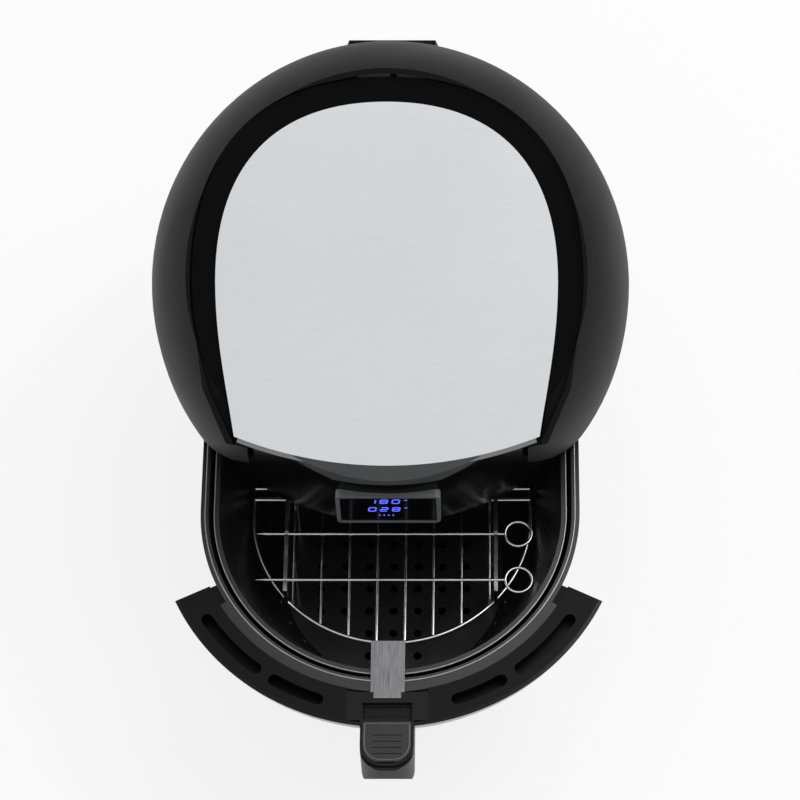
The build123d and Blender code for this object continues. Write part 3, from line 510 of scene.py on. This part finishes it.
# Stage
def paper_floor(stage):
    """Pale floor that rays from the camera and from glossy or clear faces see as mostly plain white."""
    corners = np.array([[-1, -1, 0], [1, -1, 0], [1, 1, 0], [-1, 1, 0]], float) * stage.reach
    mesh = bpy.data.meshes.new("floor")
    mesh.from_pydata(corners.tolist(), [], [(0, 1, 2, 3)])
    paper = Finish("Floor paper").set(Roughness=0.9, Specular_IOR_Level=0.1)
    paper.tint(paper.noise(paper.place(), 3, 2), shade(stage.floor, 0.995), stage.floor)
    mesh.materials.append(paper.mat)
    nodes = paper.tree.nodes
    path = nodes.new("ShaderNodeLightPath")
    white = paper.node("ShaderNodeEmission", Color=(1, 1, 1, 1), Strength=1.0)
    seen = path.outputs["Is Camera Ray"]
    for kind in ("Is Glossy Ray", "Is Transmission Ray"):
        either = nodes.new("ShaderNodeMath")
        either.operation = "MAXIMUM"
        paper.link(seen, either.inputs[0])
        paper.link(path.outputs[kind], either.inputs[1])
        seen = either.outputs[0]
    share = nodes.new("ShaderNodeMath")
    share.operation = "MULTIPLY"
    share.inputs[1].default_value = stage.paper
    paper.link(seen, share.inputs[0])
    blend = nodes.new("ShaderNodeMixShader")
    paper.link(share.outputs[0], blend.inputs["Fac"])
    paper.link(paper.bsdf.outputs["BSDF"], blend.inputs[1])
    paper.link(white.outputs["Emission"], blend.inputs[2])
    paper.link(blend.outputs["Shader"], nodes["Material Output"].inputs["Surface"])
    return bpy.data.objects.new("floor", mesh)


def studio_world(stage):
    """Even light all round, seen by the camera as plain white."""
    world = bpy.data.worlds.new("studio")
    world.use_nodes = True
    nodes = world.node_tree.nodes
    links = world.node_tree.links
    sky = nodes["Background"]
    sky.inputs["Color"].default_value = (1, 1, 1, 1)
    sky.inputs["Strength"].default_value = stage.sky
    seen = nodes.new("ShaderNodeBackground")
    seen.inputs["Color"].default_value = (1, 1, 1, 1)
    path = nodes.new("ShaderNodeLightPath")
    mix = nodes.new("ShaderNodeMixShader")
    links.new(path.outputs["Is Camera Ray"], mix.inputs["Fac"])
    links.new(sky.outputs["Background"], mix.inputs[1])
    links.new(seen.outputs["Background"], mix.inputs[2])
    links.new(mix.outputs["Shader"], nodes["World Output"].inputs["Surface"])
    return world


def key_lamp(stage):
    """Broad lamp above, behind and to the right."""
    lamp = bpy.data.lights.new("key", "AREA")
    lamp.energy = stage.key
    lamp.shape = "RECTANGLE"
    lamp.size = stage.key_w
    lamp.size_y = stage.key_d
    key = bpy.data.objects.new("key", lamp)
    key.location = stage.key_at
    key.rotation_euler = (math.radians(stage.key_back), math.radians(stage.key_side), 0)
    return key


def picture_camera(stage):
    """Camera that looks at the aim point from in front, raised by its elevation."""
    rise = math.radians(stage.elevation)
    lens = bpy.data.cameras.new("camera")
    lens.lens = stage.lens
    lens.sensor_width = stage.sensor
    lens.shift_x = stage.shift
    lens.clip_end = stage.far
    camera = bpy.data.objects.new("camera", lens)
    back = np.array([0.0, -math.cos(rise), math.sin(rise)])
    camera.location = (np.array(stage.aim) + stage.distance * back).tolist()
    camera.rotation_euler = (math.pi / 2 - rise, 0, 0)
    return camera


# Operators
class FRYER_OT_body(bpy.types.Operator):
    """Matte shell, glossy trim, base and feet"""
    bl_idname = "fryer.body"
    bl_label = "Body finishes"

    def execute(self, context):
        look = context.scene.fryer_finish
        dress(moulded("Charcoal shell", look.charcoal, rough=0.46, gloss=0.085), "outer_shell", "rear_vent")
        dress(polished("Gloss trim", look.gloss, rough=0.10, gloss=0.05), "top_deck")
        dress(polished("Gloss fascia", look.gloss, rough=0.20, gloss=0.10), "front_fascia")
        dress(moulded("Grey chin", look.chin, rough=0.36, gloss=0.3), "chin_trim")
        black = moulded("Black base", shade(look.charcoal, 0.8), rough=0.55, grain=1800)
        dress(black, "base_tray", "rear_grille", "runner_left", "runner_right")
        dress(black, "drawer_switch", "cooling_fan")
        dress(rubbery("Rubber", (0.018, 0.018, 0.018)), "rubber_feet", "mains_inlet")
        return {"FINISHED"}


class FRYER_OT_metal(bpy.types.Operator):
    """Brushed top plate, display frame, screws and bracket strip"""
    bl_idname = "fryer.metal"
    bl_label = "Metal trim"

    def execute(self, context):
        look = context.scene.fryer_finish
        dress(brushed("Brushed plate", look.silver, rough=0.34), "top_plate")
        # A darker strip on the plate's front edge: painted shade of the edge's thickness.
        strip = bowed_strip("plate_edge_shade", context.scene.fryer_plate)
        strip.data.materials.append(brushed("Plate edge shade", look.lip, rough=0.4, metal=0.5))
        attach(strip, "housing")
        satin = brushed("Satin bezel", look.bezel, rough=0.38, along=(1, 1, 60), grain=120, metal=0.6)
        dress(satin, "display_bezel")
        steel = brushed("Brushed strip", look.steel, rough=0.3, along=(60, 2, 2), grain=30, contrast=0.45)
        dress(steel, "basket_bracket")
        screws = plated("Plated screws", shade(look.chrome, 0.85), rough=0.22)
        dress(screws, "base_screws", "head_screws", "panel_screws", "bracket_screw", "fan_nut")
        return {"FINISHED"}


class FRYER_OT_display(bpy.types.Operator):
    """Dark window with lit figures for heat and time, their units and small signs"""
    bl_idname = "fryer.display"
    bl_label = "Display"

    def execute(self, context):
        look = context.scene.fryer_finish
        size = context.scene.fryer_display
        dress(polished("Dark window", (0.003, 0.003, 0.005), rough=0.08, gloss=0.08), "display_window")
        dress(laminate("Circuit laminate"), "display_board", "power_board")
        glow = lit("Lit figures", look.figures, strength=1.0)
        front = WINDOW_FRONT - size.ahead
        rows = []
        for name, text, z in (("figures_heat", "180", size.upper_z), ("figures_time", "028", size.lower_z)):
            bars = figure_bars(text, size.right, z, size.figure_w, size.figure_h, size.pitch, size.bar)
            rows.append(bars_mesh(name, *bars, size.bar, size.slant, front, size.depth, z))
        signs = [((k - 2) * size.sign_pitch, size.sign_z) for k in range(4)]
        spans = [(size.sign_w, 0.0), (0.0, size.sign_h)] * 2
        rows.append(bars_mesh(
            "figures_signs", signs, spans, size.sign_bar, 0.0, front, size.depth, size.sign_z))
        units = [(size.right + size.unit_gap, z + size.unit_rise) for z in (size.upper_z, size.lower_z)]
        spans = [(size.unit_w, 0.0)] * 2
        rows.append(bars_mesh(
            "figures_units", units, spans, size.sign_bar, 0.0, front, size.depth, size.upper_z))
        for piece in rows:
            piece.data.materials.append(glow)
            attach(piece, "housing")
        return {"FINISHED"}


class FRYER_OT_drawer(bpy.types.Operator):
    """Pan, basket, front panel, handle and its button and guard"""
    bl_idname = "fryer.drawer"
    bl_label = "Drawer finishes"

    def execute(self, context):
        look = context.scene.fryer_finish
        dress(coated("Pan coat", look.coat, rough=0.34), "pan")
        dress(coated("Basket coat", shade(look.coat, 1.2), rough=0.30), "basket")
        dress(moulded("Front plastic", look.front, rough=0.42, grain=2200, gloss=0.12), "panel_frame")
        soft = moulded("Handle plastic", look.handle, rough=0.40, grain=2200, gloss=0.14)
        dress(soft, "handle_body", "handle_cap", "latch_stem")
        dress(polished("Gloss panel", look.gloss, rough=0.14), "panel_skin", "release_button")
        dress(smoky("Smoky guard", look.smoke), "button_guard")
        dress(rubbery("Silicone", (0.02, 0.02, 0.021)), "basket_feet")
        # Rolled edge beads in a lighter metal: a painted highlight along the rims of pan and basket.
        rim_highlight = brushed("Rim highlight", look.rim, rough=0.32, along=(1, 1, 30), grain=150, metal=0.8)
        size = context.scene.fryer_drawer
        for name, node, grow, corner, back in (
                ("pan_bead", "pan", size.pan_in, size.pan_corner, size.pan_back),
                ("basket_bead", "basket", 0.0, size.basket_corner, 0.0)):
            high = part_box(node)[1]
            half = high[0] - grow
            y_mid = size.middle
            rear = high[1] - y_mid - back
            path, out = loop_path(half, -half, rear, half, corner)
            piece = bead_mesh(name, path, out, y_mid, high[2], size.bead)
            piece.data.materials.append(rim_highlight)
            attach(piece, "drawer")
        # Light bead along the guard's outline: a painted highlight on its edge.
        low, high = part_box("button_guard")
        inset = size.guard_in
        path, out = loop_path(high[0] - inset, low[1] + inset, high[1] - inset, size.guard_round, inset)
        edge = bead_mesh("guard_highlight", path, out, 0.0, high[2], size.bead)
        edge.data.materials.append(smoky("Guard edge highlight", look.edge))
        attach(edge, "button_guard")
        return {"FINISHED"}


class FRYER_OT_rack(bpy.types.Operator):
    """Plated wire rack, its side bars and the skewers"""
    bl_idname = "fryer.rack"
    bl_label = "Rack and skewers"

    def execute(self, context):
        look = context.scene.fryer_finish
        wire = plated("Plated wire", look.chrome, rough=0.14)
        dress(wire, "wire_rack", "rack_bar_left", "rack_bar_right", "skewer_front", "skewer_rear")
        dress(wire, "element_guard", "motor_shaft")
        return {"FINISHED"}


class FRYER_OT_inside(bpy.types.Operator):
    """Liner, hot-air head, element, fans, motor and boards"""
    bl_idname = "fryer.inside"
    bl_label = "Inner works"

    def execute(self, context):
        look = context.scene.fryer_finish
        dress(zinc("Zinc sheet", look.sheet), "cavity_liner", "head_floor", "reflector", "element_clips",
              "motor_bracket", "air_fan")
        dress(heated("Heated tube", (0.24, 0.23, 0.23)), "heating_element", "temp_sensor")
        dress(fired("Fired ceramic"), "element_bushes", "thermal_fuse")
        dress(moulded("Grey can", (0.16, 0.16, 0.17), rough=0.36), "motor_case", "motor_core")
        dress(wound("Copper turns", (0.52, 0.26, 0.13)), "motor_stator")
        dress(plated("Sintered bronze", (0.50, 0.36, 0.17), rough=0.4), "bearing_lower", "bearing_upper")
        return {"FINISHED"}


class FRYER_OT_stage(bpy.types.Operator):
    """Pale floor, even studio light and the camera of the picture"""
    bl_idname = "fryer.stage"
    bl_label = "Stage"

    def execute(self, context):
        scene = context.scene
        stage = scene.fryer_stage
        scene.view_settings.view_transform = "Standard"
        floor = paper_floor(stage)
        scene.collection.objects.link(floor)
        scene.world = studio_world(stage)
        scene.collection.objects.link(key_lamp(stage))
        scene.camera = picture_camera(stage)
        scene.collection.objects.link(scene.camera)
        return {"FINISHED"}


STEPS = (FRYER_OT_body, FRYER_OT_metal, FRYER_OT_display, FRYER_OT_drawer, FRYER_OT_rack, FRYER_OT_inside,
         FRYER_OT_stage)


class FRYER_PT_panel(bpy.types.Panel):
    """Sidebar list of the fryer's steps"""
    bl_idname = "FRYER_PT_panel"
    bl_label = "Air fryer"
    bl_space_type = "VIEW_3D"
    bl_region_type = "UI"
    bl_category = "Fryer"

    def draw(self, context):
        for step in STEPS:
            self.layout.operator(step.bl_idname)


GROUPS = {
    "fryer_finish": FryerFinish, "fryer_display": FryerDisplay, "fryer_drawer": FryerDrawer,
    "fryer_plate": FryerPlate, "fryer_stage": FryerStage,
}
CLASSES = (*GROUPS.values(), *STEPS, FRYER_PT_panel)


def register():
    for made in CLASSES:
        bpy.utils.register_class(made)
    for name, group in GROUPS.items():
        setattr(bpy.types.Scene, name, PointerProperty(type=group))


def unregister():
    for name in GROUPS:
        delattr(bpy.types.Scene, name)
    for made in reversed(CLASSES):
        bpy.utils.unregister_class(made)


def main():
    register()
    for step in STEPS:
        group, name = step.bl_idname.split(".")
        getattr(getattr(bpy.ops, group), name)()


if __name__ == "__main__":
    main()
